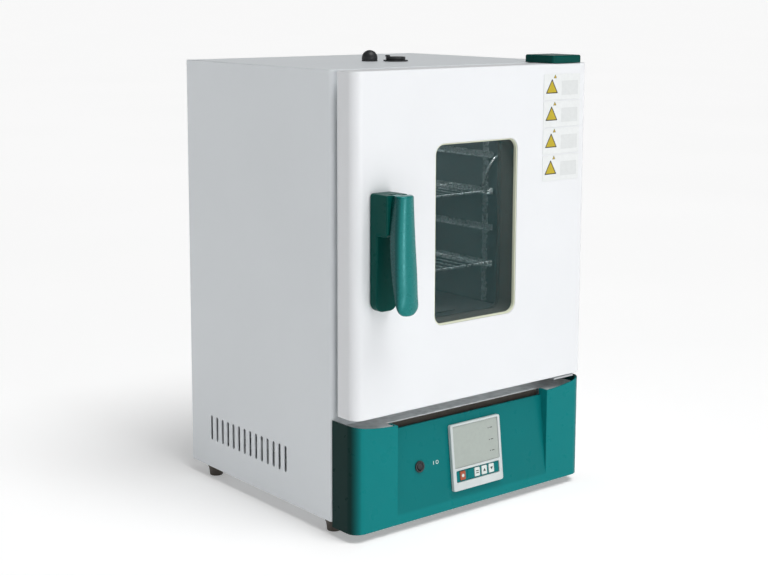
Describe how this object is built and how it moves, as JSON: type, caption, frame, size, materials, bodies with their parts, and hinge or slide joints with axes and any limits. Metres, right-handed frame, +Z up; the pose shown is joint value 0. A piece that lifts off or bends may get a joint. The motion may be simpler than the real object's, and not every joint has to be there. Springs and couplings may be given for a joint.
{
  "type": "laboratory incubator",
  "caption": "Bench-top laboratory incubator: steel casing, heated stainless chamber with wire shelves, hinged window door with a lever handle, sloping control panel.",
  "frame": {"origin": "centre of the footprint, on the surface that the feet stand on", "axes": "+X to the right seen from the front, +Y from the door towards the rear cover, +Z up"},
  "size_m": [0.48, 0.5261, 0.7196],
  "materials": {
    "black_plastic": "moulded, satin",
    "black_rubber": "moulded, matt",
    "casing_paint": "satin powder coat",
    "circuit_board": "glass-fibre board",
    "copper_winding": "varnished",
    "cream_trim": "moulded, matt",
    "dark_teal_plastic": "moulded, glossy",
    "galvanised": "galvanised, dull",
    "glass": "clear toughened",
    "lcd": "clear lens over a grey display",
    "mineral_wool": "fibrous",
    "pale_key": "moulded, matt",
    "red_key": "moulded, matt",
    "silicone": "soft silicone",
    "silver_plastic": "silver painted",
    "stainless": "brushed",
    "steel": "zinc plated",
    "sticker": "printed film",
    "teal_panel": "satin powder coat",
    "teal_plastic": "moulded, glossy",
    "white_paint": "gloss powder coat"
  },
  "bodies": {
    "cabinet": {"outer_casing": "casing_paint", "base_pan": "galvanised", "rear_cover": "casing_paint", "rear_screw_1": "steel", "rear_screw_2": "steel", "rear_screw_3": "steel", "rear_screw_4": "steel", "front_frame": "casing_paint", "compartment_deck": "galvanised", "foot_front_left": "black_rubber", "foot_front_right": "black_rubber", "foot_rear_left": "black_rubber", "foot_rear_right": "black_rubber", "chamber_liner": "stainless", "chamber_insulation": "mineral_wool", "rack_left": "stainless", "rack_right": "stainless", "heater_element": "steel", "heater_cover": "stainless", "temperature_probe": "stainless", "vent_tube": "black_plastic", "port_tube": "black_plastic", "lower_front_panel": "teal_panel", "ledge_plate": "galvanised", "controller_bezel": "silver_plastic", "controller_housing": "black_plastic", "lcd_window": "lcd", "keypad_plate": "teal_plastic", "power_switch_body": "black_plastic", "hinge_bracket_upper": "steel", "hinge_bracket_lower": "steel", "hinge_cover": "dark_teal_plastic", "strike_plate": "steel", "control_board": "circuit_board", "transformer": "copper_winding", "solid_state_relay": "steel", "mains_inlet": "black_plastic"},
    "door": {"door_outer_shell": "white_paint", "door_inner_panel": "stainless", "door_insulation": "mineral_wool", "window_trim": "cream_trim", "window_glass_outer": "glass", "window_glass_inner": "glass", "door_gasket": "silicone", "label_strip": "sticker", "hinge_bush_upper": "steel", "hinge_bush_lower": "steel", "handle_base": "dark_teal_plastic", "handle_pin": "steel"},
    "lever": {"handle_lever": "teal_plastic"},
    "latch": {"latch_bolt": "steel"},
    "start_key": {"key_start": "red_key"},
    "set_key": {"key_set": "pale_key"},
    "up_key": {"key_up": "pale_key"},
    "down_key": {"key_down": "pale_key"},
    "rocker": {"power_rocker": "black_plastic"},
    "vent_cover": {"vent_cover": "black_plastic"},
    "stopper": {"port_stopper": "black_plastic"},
    "upper_shelf": {"shelf_upper": "stainless"},
    "lower_shelf": {"shelf_lower": "stainless"}
  },
  "joints": [
    {"name": "door_hinge", "type": "hinge", "parent": "cabinet", "child": "door", "pos_m": [0.213, -0.177, 0.44], "axis": [0, 0, 1], "range_deg": [0, 115]},
    {"name": "handle_lever_pivot", "type": "hinge", "parent": "door", "child": "lever", "pos_m": [-0.1935, -0.229, 0.515], "axis": [-1, 0, 0], "range_deg": [0, 18], "stiffness_Nm_per_rad": 1.5, "springref_deg": -8.59},
    {"name": "latch_slide", "type": "slide", "parent": "door", "child": "latch", "axis": [1, 0, 0], "range_m": [0, 0.006]},
    {"name": "start_key_press", "type": "slide", "parent": "cabinet", "child": "start_key", "axis": [0, 0.9937, -0.1124], "range_m": [0, 0.001], "stiffness_N_per_m": 300, "springref_m": -0.0005},
    {"name": "set_key_press", "type": "slide", "parent": "cabinet", "child": "set_key", "axis": [0, 0.9937, -0.1124], "range_m": [0, 0.001], "stiffness_N_per_m": 300, "springref_m": -0.0005},
    {"name": "up_key_press", "type": "slide", "parent": "cabinet", "child": "up_key", "axis": [0, 0.9937, -0.1124], "range_m": [0, 0.001], "stiffness_N_per_m": 300, "springref_m": -0.0005},
    {"name": "down_key_press", "type": "slide", "parent": "cabinet", "child": "down_key", "axis": [0, 0.9937, -0.1124], "range_m": [0, 0.001], "stiffness_N_per_m": 300, "springref_m": -0.0005},
    {"name": "power_rocker_tilt", "type": "hinge", "parent": "cabinet", "child": "rocker", "pos_m": [-0.109, -0.18454, 0.09389], "axis": [1, 0, 0], "range_deg": [0, 16]},
    {"name": "vent_cover_swivel", "type": "hinge", "parent": "cabinet", "child": "vent_cover", "pos_m": [-0.007, 0.02, 0.705], "axis": [0, 0, -1], "range_deg": [0, 90]},
    {"name": "stopper_lift", "type": "slide", "parent": "cabinet", "child": "stopper", "axis": [0, 0, 1], "range_m": [0, 0.12]},
    {"name": "upper_shelf_slide", "type": "slide", "parent": "cabinet", "child": "upper_shelf", "axis": [0, -1, 0], "range_m": [0, 0.1]},
    {"name": "lower_shelf_slide", "type": "slide", "parent": "cabinet", "child": "lower_shelf", "axis": [0, -1, 0], "range_m": [0, 0.1]}
  ],
  "couplings": [
    {"joint": "latch_slide", "follows": "handle_lever_pivot", "m_per_rad": 0.019089}
  ]
}
